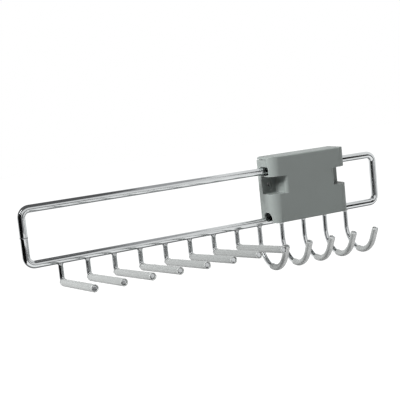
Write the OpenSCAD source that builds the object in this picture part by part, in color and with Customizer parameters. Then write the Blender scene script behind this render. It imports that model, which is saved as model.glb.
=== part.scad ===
// Pull-out belt and tie rack for the side panel of a wardrobe.
// A chromed wire loop with sleeved tie arms and belt hooks slides through a moulded housing.
// X runs along the rack, to the right as seen from the front.
// Y runs towards the panel: the back of the housing lies at y = 0 and the rest at -Y.
// Z is up. The origin is midway between the two panel screw holes, on the back face.

/* [Wire loop] */
// Diameter of the loop's wire
rail_d = 8.8; // [8:0.1:9.5]
// Length of the loop, between the centre lines of its uprights
loop_len = 455; // [430:1:520]
// Height of the loop, between the centre lines of its rails
loop_h = 60; // [56:1:70]
// Centre-line radius of the loop's corners
corner_r = 9; // [8:0.5:14]
// From the housing's left face to the centre line of the left upright, at rest
reach = 296; // [285:1:320]
// Width of the ring left by the butt weld in the left upright
bead_w = 2.4; // [1.6:0.1:4]
// How far that ring stands proud of the wire
bead_rise = 0.3; // [0.1:0.05:0.6]

/* [Stems] */
// Diameter of the wire of the arms and hooks
stem_d = 5.8; // [5:0.1:6.2]
// From the left upright to the first stem, centre to centre
first_stem = 36; // [24:1:44]
// Spacing of the stems along the bottom rail
stem_pitch = 31; // [26:0.5:32]
// How far the weld at the head of a stem spreads beyond its wire
weld_spread = 0.7; // [0.3:0.1:0.8]
// Height of that weld below the rail
weld_h = 1.4; // [0.6:0.1:2]
// Chamfer on the cut end of a wire
wire_chamfer = 0.5; // [0.2:0.1:0.8]

/* [Tie arms] */
// Number of tie arms
tie_count = 8; // [4:1:8]
// Depth of an arm's heel below the bottom rail, between centre lines
tie_drop = 25; // [20:1:32]
// Length of an arm, from the centre line of its stem to its tip
tie_len = 105; // [70:1:120]
// How far an arm tilts up, in degrees
tie_tilt = 6; // [0:0.5:12]
// Centre-line radius of the elbow
elbow_r = 6; // [5:0.5:9]
// Turn of the elbow at which the sleeve begins, in degrees
tie_sleeve_from = 50; // [20:1:80]

/* [Belt hooks] */
// Number of belt hooks
belt_count = 5; // [3:1:5]
// Depth of a hook's lowest point below the bottom rail, between centre lines
belt_drop = 50; // [46:1:60]
// Centre-line radius of the hook
hook_r = 28; // [20:0.5:32]
// Turn of the hook, in degrees
hook_turn = 154; // [130:1:170]
// Length of its straight tip
hook_tip = 14; // [8:1:24]
// Turn of the hook at which the sleeve begins, in degrees
belt_sleeve_from = 78; // [50:1:100]

/* [Sleeves] */
// Wall of a tie arm's sleeve
tie_wall = 1.1; // [0.8:0.05:1.6]
// Wall of a belt hook's sleeve
belt_wall = 0.7; // [0.5:0.05:1.2]
// Room between a wire and its sleeve
sleeve_room = 0.05; // [0.02:0.01:0.15]
// How far a sleeve reaches past the end of its wire
sleeve_over = 1; // [0:0.1:2]

/* [Housing] */
// Width of the housing
housing_w = 108; // [100:1:116]
// Depth of the housing, from the panel to its front face
housing_d = 31; // [29:0.5:36]
// Height of the housing above the top rail's centre line
cap_above = 17; // [15:0.5:22]
// Height of the housing below the bottom rail's centre line
lip_below = 2; // [1:0.5:4]
// From the panel to the centre line of the rails
rail_off = 13; // [12:0.5:14]
// Radius of the two upright edges at the front
front_r = 12; // [8:0.5:15]
// Radius of the outline's four corners, seen from the front
outline_r = 4.4; // [1:0.1:4.5]
// Radius of the front face's top and bottom edges
rim_r = 1.6; // [0.8:0.1:2.4]
// Thickness of the outer walls
wall = 2.5; // [2:0.1:3]
// Thickness of the inner walls and ribs
rib = 2; // [1.5:0.1:2.4]
// Spacing of the three stiffening ribs inside the front and the back
rib_pitch = 12; // [8:0.5:13]
// How far those ribs stand into the housing
rib_rise = 3.5; // [2:0.1:3.6]
// Thickness of the back plate
plate_t = 3; // [2.5:0.1:4]
// Thickness of the front half's lip over the rear half
lid_t = 2.8; // [2.5:0.1:3.4]
// Width of the groove under that lip
groove = 0.8; // [0.3:0.1:1.2]
// How far from the back that groove runs along the end faces
groove_run = 22; // [14:0.5:24]
// Depth of the groove in the front half
groove_t = 1; // [0.5:0.1:1.5]

/* [Rail passages] */
// Room beside a rail in its passage
side_room = 2; // [1.6:0.1:2.6]
// Room above and below the top rail in its passage
rise_room = 0.85; // [0.6:0.05:1.5]
// Room above the bottom rail in its slot
head_room = 5.8; // [5:0.1:8]
// Corner radius of the top rail's passage
passage_r = 2.5; // [1.5:0.1:3]
// How much further to the front both passages are cut in the end walls
mouth_run = 4; // [0:0.5:5]
// Room between a rail and its glides
glide_room = 0.3; // [0.2:0.05:0.4]
// Wall of the glides that carry the top rail
bush_wall = 2; // [1.8:0.1:2.5]
// Slit in those glides, for snapping them over the wire
bush_slit = 2.5; // [1.5:0.5:4]
// How much wider a bottom glide is than the slot, on each side
shoe_key = 1.2; // [0.8:0.1:1.6]
// Length of each glide
glide_len = 14; // [10:0.5:16]
// From the middle of the housing to the near end of each glide
glide_from = 18; // [15:0.5:19]
// Room between a glide and its seat
seat_room = 0.05; // [0.03:0.01:0.1]

/* [Screw pockets] */
// Width of a pocket, from the housing's end
pocket_w = 19; // [16:0.5:19]
// Height of a pocket
pocket_h = 21; // [18:0.5:24]
// Wall between a pocket and the top rail's passage
pocket_web = 1.25; // [1:0.05:2]
// Thickness of the wall behind a pocket
pocket_back = 7.5; // [4:0.1:8]
// Radius of a pocket's inner corners
pocket_r = 2; // [1:0.1:3]
// Radius of the edge between the front face and a pocket's inner wall
mouth_r = 4.2; // [1:0.1:4.5]
// Diameter of the panel screw holes
panel_hole_d = 4; // [3.8:0.1:5]
// Width of the recess round a panel screw hole
recess_w = 8.5; // [7:0.1:9]
// Height of that recess
recess_h = 15.5; // [10:0.5:16]
// Depth of that recess
recess_t = 0.9; // [0.6:0.1:1.6]

/* [Cover screws] */
// Diameter of a cover screw
screw_d = 3; // [2.5:0.1:3.2]
// Length of a cover screw
screw_len = 20; // [18:0.5:22]
// Diameter of its head
screw_head_d = 5.6; // [5:0.1:6]
// How far the head lies below the back face
screw_sink = 0.5; // [0.3:0.1:1]
// Room round a screw in the rear half
screw_room = 0.2; // [0.1:0.05:0.3]
// Room round a screw in the front half
thread_room = 0.05; // [0.02:0.01:0.1]
// Wall of a screw boss
boss_wall = 2; // [1.6:0.1:2.4]
// Width of the cross recess in a screw's head
cross_w = 0.7; // [0.5:0.1:1]
// Depth of that recess
cross_t = 0.8; // [0.5:0.1:1]

/* [Hidden] */
$fn = 64;
// Overlap of a cutting shape with open air
air = 1;
// A straight tail starts this far inside its bend, and is this much slimmer all round
tail_lap = 0.2;
tail_step = 0.02;
// How far the walls of the glide seats run into the wall beside a pocket
seat_lap = 1;

rail_r = rail_d / 2;
stem_r = stem_d / 2;
weld_r = stem_r + weld_spread;
sleeve_bore_r = stem_r + sleeve_room;

// Rail passages, and the rails' heights above the line of the panel screws
passage_w = rail_d + 2 * side_room;
passage_h = rail_d + 2 * rise_room;
top_rail_z = pocket_h / 2 + pocket_web + passage_h / 2;
low_rail_z = top_rail_z - loop_h;
slot_top_z = low_rail_z + rail_r + head_room;
rail_y = -rail_off;

// Housing levels
housing_top = top_rail_z + cap_above;
housing_bottom = low_rail_z - lip_below;
housing_h = housing_top - housing_bottom;
base_top = housing_top - lid_t - groove;
end_x = housing_w / 2;
pocket_x = end_x - pocket_w;
hole_x = end_x - pocket_w / 2;
loop_left = -end_x - reach;

// Straight runs of the loop between its corners
straight_len = loop_len - 2 * corner_r;
straight_h = loop_h - 2 * corner_r;

// Glides
bush_bore_r = rail_r + glide_room;
bush_r = bush_bore_r + bush_wall;
shoe_floor = housing_bottom + rib;

// Bends of the arms and hooks
elbow_turn = 90 + tie_tilt;
elbow_run = elbow_r * tan(elbow_turn / 2);

// Cover screws, above the top passage and between the pockets and the slot
screw_zs = [(top_rail_z + passage_h / 2 + base_top) / 2, (slot_top_z - pocket_h / 2) / 2];
boss_r = screw_d / 2 + screw_room + boss_wall;
head_h = (screw_head_d - screw_d) / 2;

chrome = [0.80, 0.81, 0.83];
sleeve_grey = [0.66, 0.69, 0.68];
housing_grey = [0.43, 0.46, 0.45];
glide_grey = [0.22, 0.23, 0.24];
zinc = [0.70, 0.70, 0.68];

// Place of stem i on the bottom rail, counted from 0 at the left
function stem_x(i) = loop_left + first_stem + i * stem_pitch;

// Mirrors its children to the left end where side is negative
module to_side(side)
    mirror([side < 0 ? 1 : 0, 0, 0])
        children();

// Extrudes an outline drawn in Y and Z from x0 for a length along X
module along_x(x0, length)
    translate([x0, 0, 0])
        rotate([90, 0, 90])
            linear_extrude(length)
                children();

// Extrudes an outline drawn in X and Z from y0 for a length towards the front
module along_y(y0, length)
    translate([0, y0, 0])
        rotate([90, 0, 0])
            linear_extrude(length)
                children();

// Rectangle between two corners, with rounded corners
module rounded(low, high, r) {
    size = high - low;
    translate(low + [r, 0])
        square([size[0] - 2 * r, size[1]]);
    translate(low + [0, r])
        square([size[0], size[1] - 2 * r]);
    for (x = [low[0] + r, high[0] - r], y = [low[1] + r, high[1] - r])
        translate([x, y])
            circle(r = r);
}

// Part of a bend: a wire comes straight down to the depth start and turns to the front
module bend(start, bend_r, from, to)
    translate([0, -bend_r, -start])
        rotate([-90, 0, 90])
            rotate(from)
                rotate_extrude(angle = to - from)
                    translate([bend_r, 0])
                        children();

// Puts its children at the end of such a bend, with +Z along the wire
module after_bend(start, bend_r, turn)
    translate([0, -bend_r * (1 - cos(turn)), -start - bend_r * sin(turn)])
        rotate([180 - turn, 0, 0])
            children();

// Stem, bend and straight tail of one wire, hung from the centre line of the rail
module bent_wire(start, bend_r, turn, tail) {
    tail_r = stem_r - tail_step;
    translate([0, 0, -start])
        cylinder(r = stem_r, h = start);
    bend(start, bend_r, 0, turn)
        circle(r = stem_r);
    after_bend(start, bend_r, turn) {
        translate([0, 0, -tail_lap])
            cylinder(r = tail_r, h = tail_lap + tail - wire_chamfer);
        translate([0, 0, tail - wire_chamfer])
            cylinder(r1 = tail_r, r2 = tail_r - wire_chamfer, h = wire_chamfer);
    }
}

// Weld at the head of a stem, as wide at its top as the rail is there
module weld_foot() {
    rail_side_z = -sqrt(pow(rail_r, 2) - pow(weld_r, 2));
    translate([0, 0, -rail_r - weld_h])
        cylinder(r1 = stem_r, r2 = weld_r, h = rail_r + weld_h + rail_side_z);
}

// Wire and weld of stem i, with the rail's round cut out of its head
module welded_wire(i, start, bend_r, turn, tail)
    translate([stem_x(i), rail_y, low_rail_z])
        difference() {
            union() {
                bent_wire(start, bend_r, turn, tail);
                weld_foot();
            }
            rotate([0, 90, 0])
                cylinder(r = rail_r, h = 4 * weld_r, center = true);
        }

// Tube over the last part of the bend and the tail of stem i
module sleeve(i, start, bend_r, from, turn, tail, thickness)
    translate([stem_x(i), rail_y, low_rail_z]) {
        bend(start, bend_r, from, turn)
            sleeve_ring(thickness);
        after_bend(start, bend_r, turn)
            translate([0, 0, -tail_lap])
                linear_extrude(tail_lap + tail + sleeve_over)
                    sleeve_ring(thickness, tail_step);
    }

// Section of a sleeve, with its wall thinner by step inside and outside
module sleeve_ring(thickness, step = 0)
    difference() {
        circle(r = sleeve_bore_r + thickness - step);
        circle(r = sleeve_bore_r + step);
    }

module tie_peg(i)
    color(chrome)
        welded_wire(i, tie_drop - elbow_run, elbow_r, elbow_turn, tie_len - elbow_run);

module tie_sleeve(i)
    color(sleeve_grey)
        sleeve(
            i, tie_drop - elbow_run, elbow_r, tie_sleeve_from, elbow_turn,
            tie_len - elbow_run, tie_wall
        );

module belt_hook(i)
    color(chrome)
        welded_wire(i, belt_drop - hook_r, hook_r, hook_turn, hook_tip);

module belt_sleeve(i)
    color(sleeve_grey)
        sleeve(
            i, belt_drop - hook_r, hook_r, belt_sleeve_from, hook_turn,
            hook_tip, belt_wall
        );

// Closed loop of one bent wire, drawn flat and stood up
module frame_loop()
    color(chrome)
        translate([loop_left, rail_y, low_rail_z])
            rotate([90, 0, 0]) {
                for (x = [0, 1], y = [0, 1])
                    translate([corner_r + x * straight_len, corner_r + y * straight_h])
                        rotate(x == y ? 180 * (1 - x) : 90 + 180 * x)
                            rotate_extrude(angle = 90)
                                translate([corner_r, 0])
                                    circle(r = rail_r);
                for (y = [0, loop_h])
                    translate([corner_r, y, 0])
                        rotate([0, 90, 0])
                            cylinder(r = rail_r, h = straight_len);
                for (x = [0, loop_len])
                    translate([x, corner_r, 0])
                        rotate([-90, 0, 0])
                            cylinder(r = rail_r, h = straight_h);
                translate([0, loop_h / 2, 0])
                    rotate([-90, 0, 0])
                        weld_bead();
            }

// Low ring round the wire, with sloping shoulders
module weld_bead()
    rotate_extrude()
        polygon([
            [0, -bead_w / 2],
            [rail_r, -bead_w / 2],
            [rail_r + bead_rise, -bead_w / 4],
            [rail_r + bead_rise, bead_w / 4],
            [rail_r, bead_w / 2],
            [0, bead_w / 2]
        ]);

// Housing seen from above, drawn in by inset except at the back
module plan_outline(inset = 0) {
    r = front_r - inset;
    half_w = end_x - inset;
    depth = housing_d - inset;
    translate([-half_w, r - depth])
        square([2 * half_w, depth - r]);
    translate([r - half_w, -depth])
        square([2 * (half_w - r), depth]);
    for (side = [-1, 1])
        translate([side * (half_w - r), r - depth])
            circle(r = r);
}

// Outer form: where the outlines from above, from the front and from the side meet
module housing_form()
    intersection() {
        translate([0, 0, housing_bottom])
            linear_extrude(housing_h)
                plan_outline();
        along_y(0, housing_d)
            rounded([-end_x, housing_bottom], [end_x, housing_top], outline_r);
        along_x(-end_x, housing_w)
            rounded([-housing_d, housing_bottom], [2 * rim_r, housing_top], rim_r);
    }

// Space inside the outer walls
module hollow()
    translate([0, 0, housing_bottom + wall])
        linear_extrude(housing_h - 2 * wall)
            intersection() {
                plan_outline(wall);
                translate([-end_x, -housing_d])
                    square([housing_w, housing_d - plate_t]);
            }

// Section of the top rail's passage, wider by grow all round
module passage_outline(grow = 0)
    rounded(
        [rail_y - passage_w / 2 - grow, top_rail_z - passage_h / 2 - grow],
        [rail_y + passage_w / 2 + grow, top_rail_z + passage_h / 2 + grow],
        passage_r
    );

// Arched section of the bottom rail's slot, wider by grow and reaching down to floor_z
module slot_outline(grow, floor_z) {
    arch_r = passage_w / 2 + grow;
    arch_z = slot_top_z - passage_w / 2;
    translate([rail_y, arch_z])
        circle(r = arch_r);
    translate([rail_y - arch_r, floor_z])
        square([2 * arch_r, arch_z - floor_z]);
}

// Pocket at one end, seen from the front, wider by grow and open past the end face
module pocket_outline(side, grow = 0)
    to_side(side)
        rounded(
            [pocket_x - grow, -pocket_h / 2 - grow],
            [end_x + 2 * pocket_r, pocket_h / 2 + grow],
            pocket_r
        );

// Walls of the passages, pockets and glide seats, screw bosses and ribs
module inner_walls() {
    seat_end = max(glide_from + glide_len + rib, pocket_x - rib + seat_lap);
    along_x(-seat_end, 2 * seat_end)
        slot_outline(rib, housing_bottom);
    for (side = [-1, 1]) {
        along_y(0, housing_d)
            pocket_outline(side, rib);
        to_side(side) {
            along_x(glide_from - rib, seat_end - glide_from + rib)
                passage_outline(rib);
            along_x(glide_from - rib, seat_end - glide_from + rib)
                translate([rail_y, top_rail_z])
                    circle(r = bush_r + rib);
            along_x(glide_from - rib, seat_end - glide_from + rib)
                slot_outline(shoe_key + rib, housing_bottom);
        }
        for (z = screw_zs)
            along_y(0, housing_d)
                translate([side * hole_x, z])
                    circle(r = boss_r);
    }
    for (x = [-rib_pitch, 0, rib_pitch], y = [wall - housing_d - air, -plate_t - rib_rise])
        translate([x - rib / 2, y, slot_top_z])
            cube([rib, rib_rise + air, housing_top - slot_top_z]);
}

// Everything that is cut out of both halves
module passages() {
    along_x(-end_x - air, housing_w + 2 * air)
        passage_outline();
    along_x(-end_x - air, housing_w + 2 * air)
        slot_outline(0, housing_bottom - air);
    for (side = [-1, 1]) {
        along_y(-pocket_back, housing_d)
            pocket_outline(side);
        to_side(side) {
            along_x(glide_from, glide_len)
                translate([rail_y, top_rail_z])
                    circle(r = bush_r + seat_room);
            along_x(glide_from, glide_len)
                slot_outline(shoe_key, shoe_floor);
            passage_mouth();
            mouth_edge();
            panel_screw_hole();
        }
        for (z = screw_zs)
            translate([side * hole_x, 0, z])
                cover_screw_hole();
    }
}

// Cut that carries both passages further to the front in the right end wall
module passage_mouth()
    translate([0, -mouth_run, 0])
        along_x(end_x - 2 * wall, 2 * wall + air) {
            passage_outline();
            slot_outline(0, housing_bottom - air);
        }

// Shallow groove that carries the gap under the lip round the ends of the front half
module lip_groove()
    translate([0, 0, base_top])
        linear_extrude(groove)
            difference() {
                translate([-end_x - air, -groove_run])
                    square([housing_w + 2 * air, groove_run]);
                plan_outline(groove_t);
            }

// Cut that rounds the edge between the front face and the inner wall of the right pocket
module mouth_edge()
    translate([pocket_x - mouth_r, mouth_r - housing_d, -pocket_h / 2])
        linear_extrude(pocket_h)
            difference() {
                translate([0, -mouth_r - air])
                    square([mouth_r, mouth_r + air]);
                circle(r = mouth_r);
            }

// Hole for a panel screw, with a tall recess round it in the wall behind the right pocket
module panel_screw_hole()
    translate([hole_x, 0, 0]) {
        along_y(air, pocket_back + 2 * air)
            circle(d = panel_hole_d);
        along_y(recess_t - pocket_back, recess_t + air) {
            square([recess_w, recess_h - recess_w], center = true);
            for (end = [-1, 1])
                translate([0, end * (recess_h - recess_w) / 2])
                    circle(d = recess_w);
        }
    }

// Countersink, clear hole through the rear half and pilot hole in the front half
module cover_screw_hole() {
    along_y(air, screw_sink + air)
        circle(d = screw_head_d + 2 * screw_room);
    translate([0, -screw_sink, 0])
        rotate([90, 0, 0])
            cylinder(r1 = screw_head_d / 2 + screw_room, r2 = screw_d / 2 + screw_room, h = head_h);
    along_y(air, rail_off + air)
        circle(r = screw_d / 2 + screw_room);
    along_y(air, screw_sink + screw_len + 2 * air)
        circle(r = screw_d / 2 + thread_room);
}

// Both halves in one, before they are parted
module housing_moulding()
    difference() {
        union() {
            difference() {
                housing_form();
                hollow();
            }
            intersection() {
                housing_form();
                inner_walls();
            }
        }
        passages();
        lip_groove();
    }

// Front half: everything in front of the rails, and the lip over the rear half
module housing_cover()
    color(housing_grey)
        intersection() {
            housing_moulding();
            union() {
                translate([-housing_w, -2 * housing_d, housing_bottom - air])
                    cube([2 * housing_w, 2 * housing_d + rail_y, housing_h + 2 * air]);
                translate([-housing_w, -housing_d, housing_top - lid_t])
                    cube([2 * housing_w, housing_d + air, lid_t + air]);
            }
        }

// Rear half: everything behind the rails, up to the groove under the lip
module housing_base()
    color(housing_grey)
        intersection() {
            housing_moulding();
            translate([-housing_w, rail_y, housing_bottom - air])
                cube([2 * housing_w, rail_off + air, base_top - housing_bottom + air]);
        }

// Slit bush that snaps over the top rail
module upper_glide(side)
    color(glide_grey)
        to_side(side)
            along_x(glide_from + seat_room, glide_len - 2 * seat_room)
                translate([rail_y, top_rail_z])
                    difference() {
                        circle(r = bush_r);
                        circle(r = bush_bore_r);
                        translate([0, -bush_slit / 2])
                            square([2 * bush_r, bush_slit]);
                    }

// Arched shoe that guides the bottom rail between the walls of its slot
module lower_glide(side)
    color(glide_grey)
        to_side(side)
            along_x(glide_from + seat_room, glide_len - 2 * seat_room)
                difference() {
                    slot_outline(shoe_key - seat_room, shoe_floor + seat_room);
                    translate([rail_y, low_rail_z])
                        circle(r = bush_bore_r);
                    translate([rail_y - bush_bore_r, housing_bottom])
                        square([2 * bush_bore_r, low_rail_z - housing_bottom]);
                }

// Four countersunk screws, driven from the back
module cover_screws()
    color(zinc)
        for (side = [-1, 1], z = screw_zs)
            translate([side * hole_x, -screw_sink, z])
                rotate([90, 0, 0])
                    cover_screw();

// Screw drawn with its head at z = 0 and its point up
module cover_screw() {
    point_h = screw_d / 2;
    difference() {
        union() {
            cylinder(d1 = screw_head_d, d2 = screw_d, h = head_h);
            cylinder(d = screw_d, h = screw_len - point_h);
            translate([0, 0, screw_len - point_h])
                cylinder(r1 = screw_d / 2, r2 = screw_d / 8, h = point_h);
        }
        for (turn = [0, 90])
            rotate(turn)
                translate([-screw_d / 2, -cross_w / 2, -air])
                    cube([screw_d, cross_w, cross_t + air]);
    }
}

frame_loop();
for (i = [1:tie_count]) {
    tie_peg(i - 1);
    tie_sleeve(i - 1);
}
for (i = [1:belt_count]) {
    belt_hook(tie_count + i - 1);
    belt_sleeve(tie_count + i - 1);
}
housing_cover();
housing_base();
upper_glide(-1);  // upper_glide_left
upper_glide(1);  // upper_glide_right
lower_glide(-1);  // lower_glide_left
lower_glide(1);  // lower_glide_right
cover_screws();
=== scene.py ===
"""Pull-out belt and tie rack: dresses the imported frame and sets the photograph's view.

Lengths are in metres. X runs along the rack to the right, Y towards the panel that the
housing lies on, and Z is up. The origin is midway between the two panel screw holes.
"""

import logging
import math
from dataclasses import dataclass, field
from enum import Enum
from functools import cached_property

import bmesh
import bpy
from mathutils import Matrix, Vector


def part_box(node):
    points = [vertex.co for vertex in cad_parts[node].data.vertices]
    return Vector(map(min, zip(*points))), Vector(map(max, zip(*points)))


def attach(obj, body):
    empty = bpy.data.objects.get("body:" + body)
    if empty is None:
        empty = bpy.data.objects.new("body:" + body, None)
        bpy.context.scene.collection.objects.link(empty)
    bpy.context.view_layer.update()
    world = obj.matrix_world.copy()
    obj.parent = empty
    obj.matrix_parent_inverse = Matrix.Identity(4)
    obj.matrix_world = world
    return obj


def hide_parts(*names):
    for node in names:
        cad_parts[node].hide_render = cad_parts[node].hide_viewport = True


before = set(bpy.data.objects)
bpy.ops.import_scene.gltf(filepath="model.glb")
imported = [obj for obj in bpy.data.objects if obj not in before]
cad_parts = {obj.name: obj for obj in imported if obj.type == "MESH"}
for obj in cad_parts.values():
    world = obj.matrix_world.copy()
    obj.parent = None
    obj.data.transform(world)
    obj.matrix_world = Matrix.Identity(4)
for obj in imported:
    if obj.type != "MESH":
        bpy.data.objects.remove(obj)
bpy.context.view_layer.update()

LOG = logging.getLogger("rack")
PHOTO_PIXELS = 400
SENSOR_WIDTH = 36.0
WHITE = (1.0, 1.0, 1.0)
FLOAT = "NodeSocketFloat"

Colour = tuple[float, float, float]
Place = tuple[float, float, float]
Range = tuple[float, float]
Material = bpy.types.Material
NodeTree = bpy.types.NodeTree
Socket = bpy.types.NodeSocket
Feed = Socket | float | int | bool | str | Colour | None
Feeds = dict[str | int, Feed]


class Body(Enum):
    """The two bodies of the rack."""

    HOUSING = "housing"
    FRAME = "frame"


class Slot(Enum):
    """Material slots of the record."""

    CHROME = "chrome_wire"
    SLEEVE = "sleeve"
    HOUSING = "housing"


# Node trees


@dataclass
class Graph:
    """Writes the nodes of one tree."""

    tree: NodeTree

    def node(self, kind: str, feeds: Feeds | None = None, **settings: object) -> bpy.types.Node:
        """Adds a node.

        Args:
            kind: The node's type name.
            feeds: What goes into its inputs, by name or number.
            settings: Values for the node's own properties.

        Returns:
            The new node.
        """
        made = self.tree.nodes.new(kind)
        for name, value in settings.items():
            setattr(made, name, value)
        for key, value in (feeds or {}).items():
            self.feed(made.inputs[key], value)
        return made

    def out(self, kind: str, feeds: Feeds | None = None, **settings: object) -> Socket:
        """Adds a node as node() does, and gives its first output."""
        return self.node(kind, feeds, **settings).outputs[0]

    def feed(self, target: Socket, value: Feed) -> None:
        """Joins a socket to an input, or sets the input's own value.

        Args:
            target: The input.
            value: An output socket, or a plain value; None leaves the input as it is.
        """
        if isinstance(value, Socket):
            self.tree.links.new(value, target)
        elif value is None:
            return
        elif isinstance(value, tuple) and target.type == "RGBA":
            target.default_value = (*value, 1.0)
        else:
            target.default_value = value

    def maths(self, operation: str, first: Feed, second: Feed = None, clamp: bool = False) -> Socket:
        """Adds a Math node, held between 0 and 1 on request, and gives its output."""
        return self.out("ShaderNodeMath", {0: first, 1: second}, operation=operation, use_clamp=clamp)

    def dot(self, first: Feed, second: Feed) -> Socket:
        """Adds the dot product of two vectors and gives its value."""
        made = self.node("ShaderNodeVectorMath", {0: first, 1: second}, operation="DOT_PRODUCT")
        return made.outputs["Value"]

    def remap(self, value: Feed, source: Range, target: tuple[Feed, Feed] = (0.0, 1.0)) -> Socket:
        """Maps a value from one range to another, held at the ends, and gives the result."""
        feeds = {"Value": value, 1: source[0], 2: source[1], 3: target[0], 4: target[1]}
        return self.out("ShaderNodeMapRange", feeds)

    def mix(self, factor: Feed, first: Feed, second: Feed) -> Socket:
        """Mixes two colours.

        Args:
            factor: 0 for the first, 1 for the second.
            first: First colour.
            second: Second colour.

        Returns:
            The mixed colour.
        """
        made = self.node("ShaderNodeMix", data_type="RGBA")
        colours = [s for s in made.inputs if s.type == "RGBA"]
        self.feed(made.inputs[0], factor)
        self.feed(colours[0], first)
        self.feed(colours[1], second)
        return [s for s in made.outputs if s.type == "RGBA"][0]

    def attribute(self, name: str) -> bpy.types.NodeOutputs:
        """Reads an attribute of the mesh in a shader and gives its outputs."""
        return self.node("ShaderNodeAttribute", attribute_name=name).outputs

    def effect(self, group: NodeTree, values: dict[str, float]) -> Socket:
        """Adds a shared effect with its named values and gives its output."""
        return self.out("ShaderNodeGroup", values, node_tree=group)

    def seen(self) -> Socket:
        """Finds the rays that show a surface: straight, mirrored or let through.

        Returns:
            1 for such a ray, and 0 for one that only carries soft light.
        """
        rays = self.node("ShaderNodeLightPath").outputs
        bent = self.maths("MAXIMUM", rays["Is Glossy Ray"], rays["Is Transmission Ray"])
        return self.maths("MAXIMUM", rays["Is Camera Ray"], bent)


def new_group(
    name: str, kind: str, inputs: dict[str, tuple[str, Feed]], outputs: dict[str, str]
) -> Graph:
    """Starts a node group.

    Args:
        name: The group's name.
        kind: ShaderNodeTree or GeometryNodeTree.
        inputs: Socket type and default value of each named input.
        outputs: Socket type of each named output.

    Returns:
        A graph over the new group.
    """
    tree = bpy.data.node_groups.new(name, kind)
    for label, (socket, default) in inputs.items():
        made = tree.interface.new_socket(label, in_out="INPUT", socket_type=socket)
        if default is not None:
            made.default_value = default
    for label, socket in outputs.items():
        tree.interface.new_socket(label, in_out="OUTPUT", socket_type=socket)
    return Graph(tree)


@dataclass
class SharedEffects:
    """Shader node groups that the finishes share, each built when it is first used.

    A range says which values of its noise, distance or cosine count as none and as full.
    """

    patch_range: Range = (0.32, 0.68)
    pit_range: Range = (0.1, 0.6)
    noise_share: float = 0.6
    edge_range: Range = (0.995, 0.90)
    gap_range: Range = (0.4, 0.62)
    gap_least: float = 0.25

    @cached_property
    def cloud(self) -> NodeTree:
        """Builds soft uneven patches, as a value between Low and High.

        Returns:
            The node group.
        """
        inputs = {"Scale": (FLOAT, 20.0), "Low": (FLOAT, 0.0), "High": (FLOAT, 1.0)}
        graph = new_group("uneven_patches", "ShaderNodeTree", inputs, {"Value": FLOAT})
        given = graph.node("NodeGroupInput").outputs
        place = graph.node("ShaderNodeTexCoord").outputs["Object"]
        feeds = {"Vector": place, "Scale": given["Scale"], "Detail": 4.0}
        noise = graph.out("ShaderNodeTexNoise", feeds)
        value = graph.remap(noise, self.patch_range, (given["Low"], given["High"]))
        graph.node("NodeGroupOutput", {"Value": value})
        return graph.tree

    @cached_property
    def grain(self) -> NodeTree:
        """Builds a fine pitted grain, as a height from 0 to 1.

        Returns:
            The node group.
        """
        inputs = {"Scale": (FLOAT, 2000.0), "Pits": (FLOAT, 0.5)}
        graph = new_group("fine_grain", "ShaderNodeTree", inputs, {"Height": FLOAT})
        given = graph.node("NodeGroupInput").outputs
        place = graph.node("ShaderNodeTexCoord").outputs["Object"]
        feeds = {"Vector": place, "Scale": given["Scale"]}
        noise = graph.out("ShaderNodeTexNoise", {**feeds, "Detail": 3.0})
        cells = graph.out("ShaderNodeTexVoronoi", feeds)
        pits = graph.maths("MULTIPLY", graph.remap(cells, self.pit_range), given["Pits"])
        soft = graph.maths("MULTIPLY", noise, self.noise_share)
        graph.node("NodeGroupOutput", {"Height": graph.maths("ADD", soft, pits, clamp=True)})
        return graph.tree

    @cached_property
    def edge_rub(self) -> NodeTree:
        """Builds the mask of edges that hands and panels rub, broken up by patches.

        Returns:
            The node group.
        """
        inputs = {"Width": (FLOAT, 0.0006), "Breaks": (FLOAT, 250.0)}
        graph = new_group("rubbed_edges", "ShaderNodeTree", inputs, {"Mask": FLOAT})
        given = graph.node("NodeGroupInput").outputs
        bevel = graph.out("ShaderNodeBevel", {"Radius": given["Width"]}, samples=4)
        flat = graph.node("ShaderNodeNewGeometry").outputs["Normal"]
        edge = graph.remap(graph.dot(bevel, flat), self.edge_range)
        place = graph.node("ShaderNodeTexCoord").outputs["Object"]
        feeds = {"Vector": place, "Scale": given["Breaks"]}
        noise = graph.out("ShaderNodeTexNoise", feeds)
        gaps = graph.remap(noise, self.gap_range, (self.gap_least, 1.0))
        graph.node("NodeGroupOutput", {"Mask": graph.maths("MULTIPLY", edge, gaps, clamp=True)})
        return graph.tree

    @cached_property
    def draw_lines(self) -> NodeTree:
        """Builds lines along drawn wire or extruded sleeving, as a height from 0 to 1.

        Returns:
            The node group.
        """
        inputs = {"Lines": (FLOAT, 6.0)}
        graph = new_group("draw_lines", "ShaderNodeTree", inputs, {"Height": FLOAT})
        given = graph.node("NodeGroupInput").outputs
        around = graph.attribute("around")["Vector"]
        feeds = {"Vector": around, "Scale": given["Lines"], "Detail": 5.0, "Roughness": 0.7}
        noise = graph.out("ShaderNodeTexNoise", feeds)
        graph.node("NodeGroupOutput", {"Height": noise})
        return graph.tree


EFFECTS = SharedEffects()


# Finishes


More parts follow.
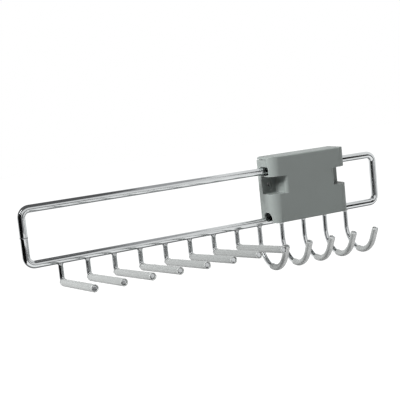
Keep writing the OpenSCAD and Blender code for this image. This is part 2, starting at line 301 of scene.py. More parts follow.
@dataclass(frozen=True)
class Finish:
    """What all finishes share: a name, and one shader with fine relief."""

    name: str

    def start(self) -> Graph:
        """Makes the material.

        Returns:
            A graph over its nodes.
        """
        material = bpy.data.materials.new(self.name)
        material.use_nodes = True
        return Graph(material.node_tree)

    def finish(self, graph: Graph, feeds: Feeds, relief: Feeds) -> Material:
        """Feeds the material's shader.

        Args:
            graph: The material's graph.
            feeds: What goes into the shader's inputs.
            relief: Strength, distance and height of the shader's bump.

        Returns:
            The material.
        """
        shader = graph.tree.nodes["Principled BSDF"]
        normal = graph.out("ShaderNodeBump", relief)
        for name, value in {**feeds, "Normal": normal}.items():
            graph.feed(shader.inputs[name], value)
        return bpy.data.materials[self.name]


@dataclass(frozen=True)
class ChromePlate(Finish):
    """Bright chrome on drawn steel wire, duller and darker at its welds and cut ends."""

    name: str = "bright_chrome"
    base: Colour = (0.64, 0.66, 0.665)
    hazed: Colour = (0.52, 0.535, 0.54)
    haze_most: float = 0.8
    weld_tint: Colour = (0.20, 0.20, 0.205)
    tint_share: float = 0.75
    smooth: float = 0.05
    smeared: float = 0.13
    weld_rough: float = 0.22
    grain_share: float = 0.4

    def material(self) -> Material:
        """Builds the finish.

        Returns:
            The material.
        """
        graph = self.start()
        haze = graph.effect(EFFECTS.cloud, {"Scale": 38.0, "Low": 0.0, "High": self.haze_most})
        smear = {"Scale": 55.0, "Low": self.smooth, "High": self.smeared}
        rough = graph.effect(EFFECTS.cloud, smear)
        weld = graph.attribute("weld")["Fac"]
        colour = graph.mix(haze, self.base, self.hazed)
        tint = graph.maths("MULTIPLY", weld, self.tint_share)
        feeds = {
            "Base Color": graph.mix(tint, colour, self.weld_tint),
            "Roughness": graph.maths("ADD", rough, graph.maths("MULTIPLY", weld, self.weld_rough)),
            "Metallic": 1.0,
        }
        lines = graph.effect(EFFECTS.draw_lines, {"Lines": 5.0})
        grain = graph.effect(EFFECTS.grain, {"Scale": 900.0, "Pits": 0.2})
        height = graph.maths("ADD", lines, graph.maths("MULTIPLY", grain, self.grain_share))
        return self.finish(graph, feeds, {"Strength": 0.05, "Distance": 0.00005, "Height": height})


@dataclass(frozen=True)
class SleeveVinyl(Finish):
    """Milky soft sleeving, with painted light along the middle that faces the view, at the rims seen
    edge on and at its cut lips.

    It also has painted light on the side turned to the right, to the front and down. A range says
    where its tone counts as none and as full.
    """

    base: Colour
    streak: Colour
    # Painted light: the next four colours are lighter tones for the middle that faces the view, the
    # rims seen edge on, the side turned to the right, front and down, and the cut lips.
    middle_painted_light: Colour
    rim_painted_light: Colour
    under: Colour
    lip: Colour = (0.34, 0.35, 0.345)
    painted_light_side: Place = (0.55, -0.60, -0.58)
    streak_range: Range = (0.44, 0.56)
    middle_painted_light_range: Range = (0.10, 0.015)
    rim_painted_light_range: Range = (0.30, 0.80)
    side_painted_light_range: Range = (0.15, 0.65)
    sheen: float = 0.38
    scuffed: float = 0.44

    def material(self) -> Material:
        """Builds the finish.

        Returns:
            The material.
        """
        graph = self.start()
        lines = graph.effect(EFFECTS.draw_lines, {"Lines": 2.4})
        drawn = graph.mix(graph.remap(lines, self.streak_range), self.base, self.streak)
        # Painted light by slant to the view: lighter along the middle that faces it and at the rims.
        slant = graph.node("ShaderNodeLayerWeight", {"Blend": 0.5}).outputs["Facing"]
        with_middle_painted_light = graph.mix(graph.remap(slant, self.middle_painted_light_range), drawn, self.middle_painted_light)
        with_rim_painted_light = graph.mix(graph.remap(slant, self.rim_painted_light_range), with_middle_painted_light, self.rim_painted_light)
        # Painted light on the side turned to the right, front and down.
        normal = graph.node("ShaderNodeNewGeometry").outputs["Normal"]
        under = graph.remap(graph.dot(normal, self.painted_light_side), self.side_painted_light_range)
        through = graph.mix(under, with_rim_painted_light, self.under)
        # Painted light at the cut lips.
        colour = graph.mix(graph.attribute("weld")["Fac"], through, self.lip)
        scuff = {"Scale": 160.0, "Low": self.sheen, "High": self.scuffed}
        rough = graph.effect(EFFECTS.cloud, scuff)
        feeds = {"Base Color": colour, "Roughness": rough, "IOR": 1.45}
        return self.finish(graph, feeds, {"Strength": 0.05, "Distance": 0.0001, "Height": lines})


@dataclass(frozen=True)
class MouldedPlastic(Finish):
    """Injection-moulded plastic with a fine spark-eroded grain and rubbed edges."""

    base: Colour
    patchy: Colour
    rubbed: Colour
    rubbed_share: float = 0.35
    sheen: float = 0.42
    dull: float = 0.56
    polish: float = 0.1
    grain_scale: float = 2600.0
    grain_depth: float = 0.00004

    def material(self) -> Material:
        """Builds the finish.

        Returns:
            The material.
        """
        graph = self.start()
        cloud = graph.effect(EFFECTS.cloud, {"Scale": 24.0})
        edge = graph.effect(EFFECTS.edge_rub, {"Width": 0.0007, "Breaks": 300.0})
        colour = graph.mix(cloud, self.base, self.patchy)
        worn = graph.maths("MULTIPLY", edge, self.rubbed_share)
        smear = {"Scale": 45.0, "Low": self.sheen, "High": self.dull}
        rough = graph.effect(EFFECTS.cloud, smear)
        feeds = {
            "Base Color": graph.mix(worn, colour, self.rubbed),
            "Roughness": graph.maths("SUBTRACT", rough, graph.maths("MULTIPLY", edge, self.polish)),
            "IOR": 1.48,
        }
        grain = graph.effect(EFFECTS.grain, {"Scale": self.grain_scale, "Pits": 0.5})
        relief = {"Strength": 0.3, "Distance": self.grain_depth, "Height": grain}
        return self.finish(graph, feeds, relief)


@dataclass(frozen=True)
class ZincPlate(Finish):
    """Zinc on the cover screws, a little cloudy."""

    name: str = "zinc_plate"
    base: Colour = (0.56, 0.56, 0.53)
    cloudy: Colour = (0.42, 0.43, 0.43)
    smooth: float = 0.26
    smeared: float = 0.46

    def material(self) -> Material:
        """Builds the finish.

        Returns:
            The material.
        """
        graph = self.start()
        cloud = graph.effect(EFFECTS.cloud, {"Scale": 700.0})
        smear = {"Scale": 900.0, "Low": self.smooth, "High": self.smeared}
        feeds = {
            "Base Color": graph.mix(cloud, self.base, self.cloudy),
            "Roughness": graph.effect(EFFECTS.cloud, smear),
            "Metallic": 1.0,
        }
        grain = graph.effect(EFFECTS.grain, {"Scale": 5000.0, "Pits": 0.4})
        return self.finish(graph, feeds, {"Strength": 0.2, "Distance": 0.00002, "Height": grain})


# Objects and meshes


def add_object(name: str, data: bpy.types.ID) -> bpy.types.Object:
    """Makes an object and links it to the scene.

    Args:
        name: The object's name.
        data: Its mesh, lamp or camera.

    Returns:
        The object.
    """
    made = bpy.data.objects.new(name, data)
    bpy.context.scene.collection.objects.link(made)
    return made


def plain_mesh(piece: bpy.types.Object) -> bpy.types.Mesh:
    """Gives the mesh that an object's modifiers make."""
    ready = piece.evaluated_get(bpy.context.evaluated_depsgraph_get())
    return bpy.data.meshes.new_from_object(ready)


def settle(piece: bpy.types.Object, body: Body, nodes: list[str]) -> None:
    """Hangs a finished piece on its body and hides the CAD nodes that it stands for.

    Args:
        piece: The piece.
        body: The body that it moves with.
        nodes: The CAD nodes that it stands for.
    """
    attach(piece, body.value)
    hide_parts(*nodes)
    triangles = sum(len(p.vertices) - 2 for p in piece.data.polygons)
    LOG.info("%s: %d triangles on %s, for %d nodes", piece.name, triangles, body.value, len(nodes))


# Wire along a path


@dataclass
class Path:
    """Centre line of a wire or sleeve, with the values that its tube follows."""

    cyclic: bool = False
    points: list[Vector] = field(default_factory=list)
    swell: list[float] = field(default_factory=list)
    weld: list[float] = field(default_factory=list)
    seat: list[float] = field(default_factory=list)

    def add(self, point: Vector, swell: float = 1.0, weld: float = 0.0, seat: float = 0.0) -> None:
        """Adds a point.

        Args:
            point: Its place.
            swell: The tube's radius or wall there, against the usual one.
            weld: How far the finish is that of a weld or cut end, or of a sleeve's lip,
                from 0 to 1. On wire the surface is as lumpy there.
            seat: How far the ring there follows the rail that it is welded to, from 0 to 1.
        """
        self.points.append(point)
        self.swell.append(swell)
        self.weld.append(weld)
        self.seat.append(seat)

    def mesh(self, name: str) -> bpy.types.Mesh:
        """Makes the path a mesh of edges.

        Args:
            name: The mesh's name.

        Returns:
            The mesh, with the values as attributes of its points.
        """
        count = len(self.points)
        edges = [(i, i + 1) for i in range(count - 1)]
        if self.cyclic:
            edges.append((count - 1, 0))
        mesh = bpy.data.meshes.new(name)
        mesh.from_pydata([tuple(p) for p in self.points], edges, [])
        for label in ("swell", "weld", "seat"):
            values = mesh.attributes.new(label, "FLOAT", "POINT").data
            values.foreach_set("value", getattr(self, label))
        return mesh


@dataclass
class TubeTree:
    """Geometry Nodes tree: a path becomes wire or sleeving and repeats along the rail.

    The welds' lumps follow a noise of lump_scale, and are dents where it is under lump_level.
    """

    name: str
    walled: bool
    lump_scale: float = 700.0
    lump_level: float = 0.45
    graph: Graph = field(init=False)
    given: bpy.types.NodeOutputs = field(init=False)

    def build(self) -> NodeTree:
        """Builds the tree.

        Returns:
            The tree, with its sizes as named inputs.
        """
        inputs = {
            "Path": ("NodeSocketGeometry", None),
            "Radius": (FLOAT, 0.002),
            "Half wall": (FLOAT, 0.0),
            "Sides": ("NodeSocketInt", 32),
            "Seat radius": (FLOAT, 0.0),
            "Copies": ("NodeSocketInt", 1),
            "Pitch": (FLOAT, 0.0),
            "First place": ("NodeSocketVector", None),
            "Weld roughness": (FLOAT, 0.0),
            "Seed": (FLOAT, 1.0),
            "Finish": ("NodeSocketMaterial", None),
        }
        tube = {"Tube": "NodeSocketGeometry"}
        self.graph = new_group(self.name, "GeometryNodeTree", inputs, tube)
        self.given = self.graph.node("NodeGroupInput").outputs
        swept = self.walled_tube() if self.walled else self.solid_tube()
        rough = self.roughen(self.repeat(self.seat(swept)))
        smooth = self.graph.out("GeometryNodeSetShadeSmooth", {0: rough})
        feeds = {"Geometry": smooth, "Material": self.given["Finish"]}
        dressed = self.graph.out("GeometryNodeSetMaterial", feeds)
        self.graph.node("NodeGroupOutput", {0: dressed})
        return self.graph.tree

    def curve_and_ring(self) -> tuple[Socket, Socket]:
        """Turns the path into a curve and makes the ring that is swept along it.

        Returns:
            The curve, and a ring of radius 1 that remembers its place as "around".
        """
        curve = self.graph.out("GeometryNodeMeshToCurve", {0: self.given["Path"]})
        feeds = {"Resolution": self.given["Sides"], "Radius": 1.0}
        ring = self.graph.out("GeometryNodeCurvePrimitiveCircle", feeds)
        spot = self.graph.out("GeometryNodeInputPosition")
        kind = {"data_type": "FLOAT_VECTOR", "domain": "POINT"}
        feeds = {"Geometry": ring, "Name": "around"}
        store = self.graph.node("GeometryNodeStoreNamedAttribute", feeds, **kind)
        values = [s for s in store.inputs if s.name == "Value" and s.type == "VECTOR"]
        self.graph.feed(values[0], spot)
        return curve, store.outputs[0]

    def value(self, name: str) -> Socket:
        """Reads one of the path's values and gives its socket."""
        feeds = {"Name": name}
        return self.graph.out("GeometryNodeInputNamedAttribute", feeds, data_type="FLOAT")

    def solid_tube(self) -> Socket:
        """Sweeps a solid wire with closed ends.

        Returns:
            The wire's mesh.
        """
        curve, ring = self.curve_and_ring()
        scale = self.graph.maths("MULTIPLY", self.value("swell"), self.given["Radius"])
        feeds = {"Curve": curve, "Profile Curve": ring, "Scale": scale, "Fill Caps": True}
        return self.graph.out("GeometryNodeCurveToMesh", feeds)

    def walled_tube(self) -> Socket:
        """Sweeps an outer and an inner wall that close in a round lip at each end.

        Returns:
            The sleeve's mesh.
        """
        curve, ring = self.curve_and_ring()
        half = self.graph.maths("MULTIPLY", self.value("swell"), self.given["Half wall"])
        both = self.graph.node("GeometryNodeJoinGeometry")
        for operation in ("ADD", "SUBTRACT"):
            scale = self.graph.maths(operation, self.given["Radius"], half)
            feeds = {"Curve": curve, "Profile Curve": ring, "Scale": scale}
            wall = self.graph.out("GeometryNodeCurveToMesh", feeds)
            if operation == "SUBTRACT":
                wall = self.graph.out("GeometryNodeFlipFaces", {0: wall})
            self.graph.feed(both.inputs[0], wall)
        feeds = {"Geometry": both.outputs[0], "Distance": 2e-6}
        return self.graph.out("GeometryNodeMergeByDistance", feeds)

    def seat(self, tube: Socket) -> Socket:
        """Shapes the head of a stem to the round of the rail above it.

        Args:
            tube: The mesh of one wire, with the rail's centre line at the origin.

        Returns:
            The shaped mesh.
        """
        maths, radius = self.graph.maths, self.given["Seat radius"]
        place = self.graph.out("GeometryNodeInputPosition")
        across = self.graph.node("ShaderNodeSeparateXYZ", {0: place}).outputs["Y"]
        square = maths("MULTIPLY", radius, radius)
        rest = maths("SUBTRACT", square, maths("MULTIPLY", across, across))
        depth = maths("SQRT", maths("MAXIMUM", rest, 0.0))
        rise = maths("MAXIMUM", maths("SUBTRACT", radius, depth), 0.0)
        lift = maths("MULTIPLY", rise, self.value("seat"))
        offset = self.graph.out("ShaderNodeCombineXYZ", {"Z": lift})
        return self.graph.out("GeometryNodeSetPosition", {"Geometry": tube, "Offset": offset})

    def repeat(self, tube: Socket) -> Socket:
        """Puts copies of the tube along the rail.

        Args:
            tube: The mesh of one wire or sleeve.

        Returns:
            The realised copies.
        """
        step = self.graph.out("ShaderNodeCombineXYZ", {"X": self.given["Pitch"]})
        start = self.given["First place"]
        feeds = {"Count": self.given["Copies"], "Start Location": start, "Offset": step}
        row = self.graph.out("GeometryNodeMeshLine", feeds)
        feeds = {"Points": row, "Instance": tube}
        copies = self.graph.out("GeometryNodeInstanceOnPoints", feeds)
        return self.graph.out("GeometryNodeRealizeInstances", {0: copies})

    def roughen(self, tube: Socket) -> Socket:
        """Makes each weld a little lumpy, and each in its own way.

        Args:
            tube: The realised mesh.

        Returns:
            The mesh with uneven welds.
        """
        maths = self.graph.maths
        place = self.graph.out("GeometryNodeInputPosition")
        feeds = {"Vector": place, "W": self.given["Seed"], "Scale": self.lump_scale, "Detail": 2.0}
        noise = self.graph.out("ShaderNodeTexNoise", feeds, noise_dimensions="4D")
        lump = maths("SUBTRACT", noise, self.lump_level)
        amount = maths("MULTIPLY", lump, self.given["Weld roughness"])
        amount = maths("MULTIPLY", amount, self.value("weld"))
        normal = self.graph.out("GeometryNodeInputNormal")
        feeds = {0: normal, "Scale": amount}
        offset = self.graph.out("ShaderNodeVectorMath", feeds, operation="SCALE")
        return self.graph.out("GeometryNodeSetPosition", {"Geometry": tube, "Offset": offset})


def grow(tree: NodeTree, path: Path, name: str, sizes: dict[str, object]) -> bpy.types.Object:
    """Runs a tree on a path and keeps the result as a plain mesh.

    Args:
        tree: The tree.
        path: The path that it follows.
        name: The piece's name.
        sizes: Values of the tree's named inputs.

    Returns:
        The piece.
    """
    carrier = add_object(name + "_path", path.mesh(name + "_path"))
    modifier = carrier.modifiers.new("grow", "NODES")
    modifier.node_group = tree
    inputs = [item for item in tree.interface.items_tree if item.in_out == "INPUT"]
    keys = {item.name: item.identifier for item in inputs}
    for label, value in sizes.items():
        modifier[keys[label]] = value
    mesh = plain_mesh(carrier)
    mesh.name = name
    carrier.modifiers.remove(modifier)
    bpy.data.objects.remove(carrier)
    return add_object(name, mesh)


# Wire pieces


@dataclass
class WireLoop:
    """The closed loop of thick chromed wire, butt welded in its left upright."""

    wire_radius: float = 0.0044
    corner_radius: float = 0.009
    corner_steps: int = 22
    sides: int = 64
    bead_half: float = 0.0012
    bead_rise: float = 0.00022
    bead_power: float = 1.2
    bead_room: float = 0.0003
    bead_steps: int = 12
    lumps: float = 0.0002

    def corners(self) -> tuple[Vector, Vector]:
        """Finds the loop's centre lines from the frame.

        Returns:
            The lowest and highest corner of the centre line.
        """
        low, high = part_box("frame_loop")
        inset = Vector((self.wire_radius, self.wire_radius, self.wire_radius))
        bead = Vector((self.bead_room, 0, 0))
        return low + inset + bead, high - inset

    def path(self) -> Path:
        """Draws the centre line, from the weld down and round.

        Returns:
            The path.
        """
        low, high = self.corners()
        middle_y = (low.y + high.y) / 2
        weld_z = (low.z + high.z) / 2
        path = Path(cyclic=True)
        self.bead(path, Vector((low.x, middle_y, weld_z)))
        r = self.corner_radius
        centres = [(low.x, low.z, 180), (high.x, low.z, 270), (high.x, high.z, 0), (low.x, high.z, 90)]
        for corner_x, corner_z, start in centres:
            centre_x = corner_x + math.copysign(r, (low.x + high.x) / 2 - corner_x)
            centre_z = corner_z + math.copysign(r, weld_z - corner_z)
            for step in range(self.corner_steps + 1):
                turn = math.radians(start + 90 * step / self.corner_steps)
                spot = (centre_x + r * math.cos(turn), middle_y, centre_z + r * math.sin(turn))
                path.add(Vector(spot))
        return path

    def bead(self, path: Path, weld: Vector) -> None:
        """Adds the points of the raised ring at the weld, from its top down.

        Args:
            path: The path that it is added to.
            weld: The weld's place on the upright.
        """
        for step in range(self.bead_steps + 1):
            share = 1 - 2 * step / self.bead_steps
            ring = math.cos(share * math.pi / 2) ** self.bead_power
            spot = weld + Vector((0, 0, share * self.bead_half))
            path.add(spot, 1 + ring * self.bead_rise / self.wire_radius, ring)

    def build(self, tree: NodeTree, finish: Material) -> None:
        """Builds and dresses the loop.

        Args:
            tree: The tree for solid wire.
            finish: The material.
        """
        sizes = {
            "Radius": self.wire_radius,
            "Sides": self.sides,
            "Weld roughness": self.lumps,
            "Finish": finish,
        }
        piece = grow(tree, self.path(), "loop_wire", sizes)
        settle(piece, Body.FRAME, ["frame_loop"])


@dataclass
class BentWires:
    """A row of alike wires, welded under the bottom rail, each with a bend and a sleeve.

    Turns are in degrees. The weld flares by weld_spread over weld_height, and its flare and
    tint fade by powers. Plain wire begins edge_room from the weld and from the chamfer.
    face_rings size the two rings that close the cut face, and face_dish is the step between.
    """

    label: str
    peg_node: str
    sleeve_node: str
    copies: int
    first_x: float
    start: float
    bend_radius: float
    turn: float
    tail: float
    sleeve_from: float
    bend_steps: int
    rail_y: float = -0.013
    rail_z: float = -0.043
    rail_radius: float = 0.0044
    wire_radius: float = 0.0029
    pitch: float = 0.031
    weld_spread: float = 0.0007
    weld_height: float = 0.0014
    weld_power: float = 1.7
    weld_fade: float = 0.6
    weld_steps: int = 8
    lumps: float = 0.0007
    seat_depth: float = 0.0003
    chamfer: float = 0.0005
    chamfer_reach: float = 0.94
    edge_room: float = 0.0006
    face_dish: float = 0.00001
    face_rings: tuple[float, float] = (0.4, 0.02)
    cut_tint: float = 0.2
    sides: int = 36
    sleeve_room: float = 0.00005
    sleeve_wall: float = 0.0011
    sleeve_over: float = 0.001
    lip_steps: int = 6
    tail_steps: int = 8

    def bend_point(self, turn: float) -> Vector:
        """Finds a point of the bend.

        Args:
            turn: How far the wire has turned to the front, in degrees.

        Returns:
            The point, from the rail's centre line.
        """
        angle = math.radians(turn)
        r = self.bend_radius
        return Vector((0, -r * (1 - math.cos(angle)), -self.start - r * math.sin(angle)))

    def tail_point(self, along: float) -> Vector:
        """Finds the point of the straight tail that is as far past the bend as along says."""
        angle = math.radians(self.turn)
        return self.bend_point(self.turn) + along * Vector((0, -math.sin(angle), -math.cos(angle)))

    def leans(self, first: int = 0) -> list[float]:
        """Gives the steps of a lip's quarter turn, in radians, from the first step on."""
        return [math.radians(90 * step / self.lip_steps) for step in range(first, self.lip_steps + 1)]

    def wire_path(self) -> Path:
        """Draws one wire from its weld to its cut end.

        Returns:
            The path, from the rail's centre line.
        """
        path = Path()
        head = -self.rail_radius + self.seat_depth
        spread = self.weld_spread / self.wire_radius
        length = self.weld_height + self.seat_depth
        for step in range(self.weld_steps + 1):
            share = step / self.weld_steps
            near = 1 - share
            spot = Vector((0, 0, head - share * length))
            path.add(spot, 1 + spread * near**self.weld_power, near**self.weld_fade, near)
        path.add(Vector((0, 0, head - length - self.edge_room)))
        for step in range(self.bend_steps + 1):
            path.add(self.bend_point(self.turn * step / self.bend_steps))
        edge = self.tail - self.chamfer
        path.add(self.tail_point(edge - self.edge_room))
        for lean in self.leans():
            inset = self.chamfer * (1 - math.cos(lean)) / self.wire_radius
            along = edge + self.chamfer * math.sin(lean) * self.chamfer_reach
            path.add(self.tail_point(along), 1 - inset, self.cut_tint)
        outer, inner = self.face_rings
        path.add(self.tail_point(self.tail - self.face_dish), outer, self.cut_tint)
        path.add(self.tail_point(self.tail), inner, self.cut_tint)
        return path

    def sleeve_path(self) -> Path:
        """Draws one sleeve, from its lip on the bend to its lip past the wire's end.

        Returns:
            The path, from the rail's centre line.
        """
        path = Path()
        lip = self.sleeve_wall / 2
        end = self.tail + self.sleeve_over
        first = self.sleeve_from
        lip_turn = math.degrees(lip / self.bend_radius)
        bend = self.turn - first - lip_turn
        for lean in self.leans():
            path.add(self.bend_point(first + lip_turn * (1 - math.cos(lean))), math.sin(lean))
        for step in range(1, self.bend_steps + 1):
            path.add(self.bend_point(first + lip_turn + bend * step / self.bend_steps))
        for step in range(1, self.tail_steps + 1):
            path.add(self.tail_point((end - lip) * step / self.tail_steps))
        for lean in self.leans(1):
            path.add(self.tail_point(end - lip * (1 - math.sin(lean))), math.cos(lean), 1.0)
        return path

    def nodes(self, stem: str) -> list[str]:
        """Names the row's CAD nodes, whose names start alike, from the left."""
        return [f"{stem}_{i + 1}" for i in range(self.copies)]

    def build(
        self, wire_tree: NodeTree, sleeve_tree: NodeTree, chrome: Material, vinyl: Material
    ) -> None:
        """Builds and dresses the row's wires and sleeves.

        Args:
            wire_tree: The tree for solid wire.
            sleeve_tree: The tree for sleeving.
            chrome: The wires' material.
            vinyl: The sleeves' material.
        """
        row = {
            "Copies": self.copies,
            "Pitch": self.pitch,
            "First place": (self.first_x, self.rail_y, self.rail_z),
            "Sides": self.sides,
        }
        wire_sizes = {
            **row,
            "Seat radius": self.rail_radius - self.seat_depth,
            "Weld roughness": self.lumps,
            "Radius": self.wire_radius,
            "Finish": chrome,
        }
        wires = grow(wire_tree, self.wire_path(), f"{self.label}_wires", wire_sizes)
        half = self.sleeve_wall / 2
        middle = self.wire_radius + self.sleeve_room + half
        sleeve_sizes = {**row, "Radius": middle, "Half wall": half, "Finish": vinyl}
        sleeves = grow(sleeve_tree, self.sleeve_path(), f"{self.label}_sleeves", sleeve_sizes)
        settle(wires, Body.FRAME, self.nodes(self.peg_node))
        settle(sleeves, Body.FRAME, self.nodes(self.sleeve_node))


def tie_arms() -> BentWires:
    """Sizes the row of tie arms from an arm's drop below the rail and its reach.

    Returns:
        The row.
    """
    elbow = 0.006
    turn = 96.0
    drop = 0.025
    reach = 0.105
    run = elbow * math.tan(math.radians(turn / 2))
    return BentWires(
        label="tie_arm",
        peg_node="tie_peg",
        sleeve_node="tie_sleeve",
        copies=8,
        first_x=-0.314,
        start=drop - run,
        bend_radius=elbow,
        turn=turn,
        tail=reach - run,
        sleeve_from=50.0,
        bend_steps=24,
    )


def belt_hooks() -> BentWires:
    """Sizes the row of belt hooks from a hook's depth below the rail.

    Returns:
        The row.
    """
    radius = 0.028
    depth = 0.050
    return BentWires(
        label="belt_hook",
        peg_node="belt_hook",
        sleeve_node="belt_sleeve",
        copies=5,
        first_x=-0.066,
        start=depth - radius,
        bend_radius=radius,
        turn=154.0,
        tail=0.014,
        sleeve_from=78.0,
        sleeve_wall=0.0007,
        bend_steps=48,
        tail_steps=3,
    )


# Housing


@dataclass
class Housing:
    """The moulded housing: two halves with broken edges, four glides and its screws."""

    edge: float = 0.0003
    edge_segments: int = 2
    sharp_angle: float = 35.0
    flat_angle: float = 0.5
    merge: float = 1e-6
    halves: tuple[str, ...] = ("housing_cover", "housing_base")
    glides: tuple[str, ...] = (
        "upper_glide_left",
        "upper_glide_right",
        "lower_glide_left",
        "lower_glide_right",
    )
    screws: str = "cover_screws"
    web_low: Place = (0.0349, -0.0320, -0.0105)
    web_high: Place = (0.0370, -0.0268, 0.0105)

    def webs(self) -> bpy.types.Object:
        """Makes the space in front of the pockets' inner corners, for cutting.

        Returns:
            Two boxes, one at each pocket.
        """
        work = bmesh.new()
        low, high = Vector(self.web_low), Vector(self.web_high)
        for side in (-1, 1):
            middle = (low + high) / 2
            middle.x *= side
            place = Matrix.Translation(middle) @ Matrix.Diagonal((*(high - low), 1.0))
            bmesh.ops.create_cube(work, size=1.0, matrix=place)
        mesh = bpy.data.meshes.new("pocket_webs")
        work.to_mesh(mesh)
        work.free()
        return add_object("pocket_webs", mesh)

    def shell(self, node: str, finish: Material) -> bpy.types.Mesh:
        """Copies the mesh of one half, with its loose triangles joined and flat faces whole.

        Args:
            node: The CAD node.
            finish: The material.

        Returns:
            The mesh.
        """
        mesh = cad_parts[node].data.copy()
        work = bmesh.new()
        work.from_mesh(mesh)
        bmesh.ops.remove_doubles(work, verts=work.verts, dist=self.merge)
        flat = math.radians(self.flat_angle)
        bmesh.ops.dissolve_limit(work, angle_limit=flat, verts=work.verts, edges=work.edges)
        bmesh.ops.recalc_face_normals(work, faces=work.faces)
        work.to_mesh(mesh)
        work.free()
        mesh.materials.clear()
        mesh.materials.append(finish)
        mesh.shade_smooth()
        return mesh

    def half(self, node: str, finish: Material) -> None:
        """Builds and dresses one half, with its webs cut away and its edges broken.

        Args:
            node: The CAD node.
            finish: The material.
        """
        rough = add_object(node + "_rough", self.shell(node, finish))
        webs = self.webs()
        cut = rough.modifiers.new("webs", "BOOLEAN")
        cut.object = webs
        cut.operation = "DIFFERENCE"
        cut.solver = "EXACT"
        bevel = rough.modifiers.new("edges", "BEVEL")
        bevel.width = self.edge
        bevel.segments = self.edge_segments
        bevel.limit_method = "ANGLE"
        bevel.angle_limit = math.radians(self.sharp_angle)
        bevel.use_clamp_overlap = True
        weighted = rough.modifiers.new("normals", "WEIGHTED_NORMAL")
        weighted.weight = 100
        weighted.keep_sharp = True
        mesh = plain_mesh(rough)
        bpy.data.objects.remove(rough)
        bpy.data.objects.remove(webs)
        settle(add_object(node + "_moulding", mesh), Body.HOUSING, [node])

    def build(self, moulded: Material, glide: Material, zinc: Material) -> None:
        """Builds and dresses the housing.

        Args:
            moulded: The halves' material.
            glide: The glides' material.
            zinc: The screws' material.
        """
        for node in self.halves:
            self.half(node, moulded)
        finishes = {node: glide for node in self.glides}
        finishes[self.screws] = zinc
        for node, finish in finishes.items():
            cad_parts[node].material_slots[0].material = finish
            LOG.info("%s: CAD node, new finish", node)


# Studio


def flat_card(name: str, width: float, height: float, place: Matrix) -> bpy.types.Mesh:
    """Makes a rectangle.

    Args:
        name: The mesh's name.
        width: Its size along its own X.
        height: Its size along its own Y.
        place: Where it lies, and how it is turned.

    Returns:
        The mesh.
    """
    w, h = width / 2, height / 2
    corners = [Vector((x, y, 0)) for x, y in ((-w, -h), (w, -h), (w, h), (-w, h))]
    mesh = bpy.data.meshes.new(name)
    mesh.from_pydata([tuple(place @ c) for c in corners], [], [(0, 1, 2, 3)])
    return mesh


def empty_graph(owner: Material | bpy.types.World) -> Graph:
    """Empties the nodes of a material or world.

    Args:
        owner: The material or world.

    Returns:
        A graph over its nodes.
    """
    owner.use_nodes = True
    owner.node_tree.nodes.clear()
    return Graph(owner.node_tree)


@dataclass
class Flag:
    """A dark or light card that only mirror-like surfaces see."""

    name: str
    centre: Place
    facing: Place
    width: float
    height: float
    shade: float
    cool: float = 1.02

    def build(self) -> None:
        """Makes the card and hides it from every ray but mirrored ones."""
        turn = Vector(self.facing).to_track_quat("Z", "Y").to_matrix().to_4x4()
        place = Matrix.Translation(self.centre) @ turn
        mesh = flat_card(self.name, self.width, self.height, place)
        material = bpy.data.materials.new(self.name)
        graph = empty_graph(material)
        colour = (self.shade, self.shade, self.shade * self.cool)
        glow = graph.out("ShaderNodeEmission", {"Color": colour})
        graph.node("ShaderNodeOutputMaterial", {"Surface": glow})
        mesh.materials.append(material)
        card = add_object(self.name, mesh)
        for ray in ("camera", "diffuse", "transmission", "volume_scatter", "shadow"):
            setattr(card, f"visible_{ray}", False)


@dataclass
class Lamp:
    """A soft square lamp."""

    name: str
    place: Place
    aim: Place
    size: float
    watts: float
    mirrored: bool = False

    def build(self) -> None:
        """Makes the lamp."""
        data = bpy.data.lights.new(self.name, "AREA")
        data.shape = "SQUARE"
        data.size = self.size
        data.energy = self.watts
        lamp = add_object(self.name, data)
        lamp.location = self.place
        beam = Vector(self.aim) - Vector(self.place)
        lamp.rotation_euler = beam.to_track_quat("-Z", "Y").to_euler()
        lamp.visible_glossy = self.mirrored


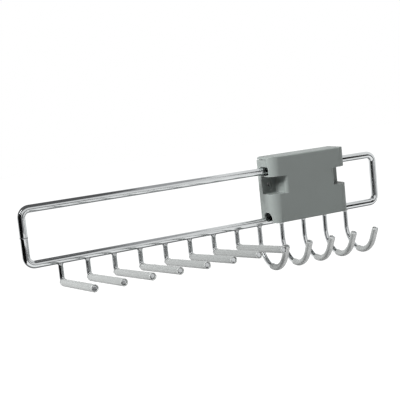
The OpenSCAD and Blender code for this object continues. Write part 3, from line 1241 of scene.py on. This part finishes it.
@dataclass
class Studio:
    """Pale floor, white surround, soft lamps and the cards that the chrome mirrors."""

    floor_z: float = -0.42
    floor_size: float = 10.0
    floor_colour: Colour = (0.60, 0.60, 0.60)
    floor_glow: float = 1.25
    glow_share: float = 0.86
    ambient: float = 0.07
    # Name, place, aim, size, watts, and whether mirrors see it
    lamps: tuple[Lamp, ...] = (
        Lamp("key_lamp", (-1.60, -0.28, 1.10), (-0.1, 0.0, -0.02), 0.7, 77.0, True),
        Lamp("top_lamp", (0.1, -0.1, 1.7), (0.0, 0.0, 0.0), 1.2, 11.5),
        Lamp("fill_lamp", (1.40, -1.30, 0.25), (0.0, 0.0, 0.0), 1.0, 14.0),
    )
    # Name, centre, the way it faces, width, height and shade
    flags: tuple[Flag, ...] = (
        Flag("left_flag", (-0.55, -0.30, -0.05), (1, 0, 0), 0.80, 0.40, 0.004),
        Flag("front_card", (-0.70, -1.25, -0.20), (0, 1, 0), 1.7, 0.42, 0.28),
        Flag("roof_flag", (-1.13, 0.26, 0.50), (0, 0, -1), 2.2, 1.88, 0.14),
        Flag("roof_edge", (0.045, 0.26, 0.50), (0, 0, -1), 0.15, 1.88, 0.5),
        Flag("pole_flag", (0.635, -0.9, 0.25), (0, 1, 0), 0.37, 1.2, 0.02),
        Flag("camera_flag", (-0.62, -0.9, -0.22), (0, 1, 0), 0.25, 0.20, 0.02),
        Flag("lens_flag", (0.10, -0.9, -0.21), (0, 1, 0), 0.30, 0.15, 0.03),
        Flag("grey_wall", (-1.5, -0.3, 0.0), (1, 0, 0), 2.2, 1.6, 0.65),
        Flag("under_flag", (-0.10, 0.03, -0.25), (0, 0, 1), 1.4, 0.26, 0.25),
    )

    def floor(self) -> None:
        """Makes the floor, which looks nearly white and keeps the rack's shadow."""
        place = Matrix.Translation((0, 0, self.floor_z))
        mesh = flat_card("floor", self.floor_size, self.floor_size, place)
        material = bpy.data.materials.new("floor")
        graph = empty_graph(material)
        matt = graph.out("ShaderNodeBsdfDiffuse", {"Color": self.floor_colour})
        glow = graph.out("ShaderNodeEmission", {"Color": WHITE, "Strength": self.floor_glow})
        share = graph.maths("MULTIPLY", graph.seen(), self.glow_share)
        mixed = graph.out("ShaderNodeMixShader", {0: share, 1: matt, 2: glow})
        graph.node("ShaderNodeOutputMaterial", {"Surface": mixed})
        mesh.materials.append(material)
        add_object("floor", mesh)

    def surround(self) -> None:
        """Makes the world white to the camera and to mirrors, and a soft light otherwise."""
        world = bpy.data.worlds.new("surround")
        bpy.context.scene.world = world
        graph = empty_graph(world)
        strength = graph.remap(graph.seen(), (0.0, 1.0), (self.ambient, 1.0))
        glow = graph.out("ShaderNodeBackground", {"Color": WHITE, "Strength": strength})
        graph.node("ShaderNodeOutputWorld", {"Surface": glow})

    def build(self) -> None:
        """Sets up the whole studio."""
        self.floor()
        self.surround()
        for thing in (*self.lamps, *self.flags):
            thing.build()
        bpy.context.scene.view_settings.view_transform = "Standard"


@dataclass
class PhotoCamera:
    """The camera that the photograph was fitted with."""

    azimuth: float = -25.681
    elevation: float = 7.782
    roll: float = -5.874
    distance: float = 1.06159
    target: Place = (-0.140387, -0.013, -0.004239)
    focal_pixels: float = 922.699
    nearest: float = 0.01

    def build(self) -> None:
        """Makes the camera and gives it to the scene."""
        az, el, roll = (math.radians(v) for v in (self.azimuth, self.elevation, self.roll))
        back = Vector((math.sin(az) * math.cos(el), -math.cos(az) * math.cos(el), math.sin(el)))
        right = (-back).cross(Vector((0, 0, 1))).normalized()
        up = right.cross(-back)
        x_axis = math.cos(roll) * right + math.sin(roll) * up
        y_axis = -math.sin(roll) * right + math.cos(roll) * up
        turn = Matrix((x_axis, y_axis, back)).transposed().to_4x4()
        data = bpy.data.cameras.new("photo_camera")
        data.sensor_width = SENSOR_WIDTH
        data.sensor_fit = "HORIZONTAL"
        data.lens = self.focal_pixels / PHOTO_PIXELS * SENSOR_WIDTH
        data.clip_start = self.nearest
        camera = add_object("photo_camera", data)
        place = Vector(self.target) + back * self.distance
        camera.matrix_world = Matrix.Translation(place) @ turn
        bpy.context.scene.camera = camera


def main() -> None:
    """Builds the camera, the studio and every piece of the rack."""
    logging.basicConfig(level=logging.INFO, format="%(name)s: %(message)s")
    PhotoCamera().build()
    Studio().build()
    chrome = ChromePlate().material()
    # One vinyl in two tones: the arms' copy is painted darker, as painted shade, and the hooks' copy
    # is painted lighter, as painted light.
    thick = SleeveVinyl(
        name="milky_sleeving",
        base=(0.142, 0.148, 0.146),
        streak=(0.082, 0.086, 0.084),
        middle_painted_light=(0.190, 0.198, 0.195),
        rim_painted_light=(0.225, 0.234, 0.231),
        under=(0.72, 0.73, 0.725),
    ).material()
    hook_vinyl_painted_lighter = SleeveVinyl(
        name="hook_sleeving_painted_lighter",
        base=(0.195, 0.203, 0.200),
        streak=(0.160, 0.166, 0.164),
        middle_painted_light=(0.200, 0.208, 0.205),
        rim_painted_light=(0.215, 0.223, 0.220),
        under=(0.52, 0.53, 0.525),
    ).material()
    moulded = MouldedPlastic(
        name="grey_moulding",
        base=(0.178, 0.198, 0.190),
        patchy=(0.170, 0.187, 0.180),
        rubbed=(0.34, 0.36, 0.35),
    ).material()
    glide = MouldedPlastic(
        name="glide_acetal",
        base=(0.045, 0.048, 0.05),
        patchy=(0.035, 0.037, 0.039),
        rubbed=(0.12, 0.12, 0.12),
        sheen=0.28,
        dull=0.4,
        grain_scale=1800.0,
    ).material()
    zinc = ZincPlate().material()
    wire_tree = TubeTree("solid_wire", walled=False).build()
    sleeve_tree = TubeTree("sleeving", walled=True).build()
    WireLoop().build(wire_tree, chrome)
    tie_arms().build(wire_tree, sleeve_tree, chrome, thick)
    belt_hooks().build(wire_tree, sleeve_tree, chrome, hook_vinyl_painted_lighter)
    Housing().build(moulded, glide, zinc)


if __name__ == "__main__":
    main()
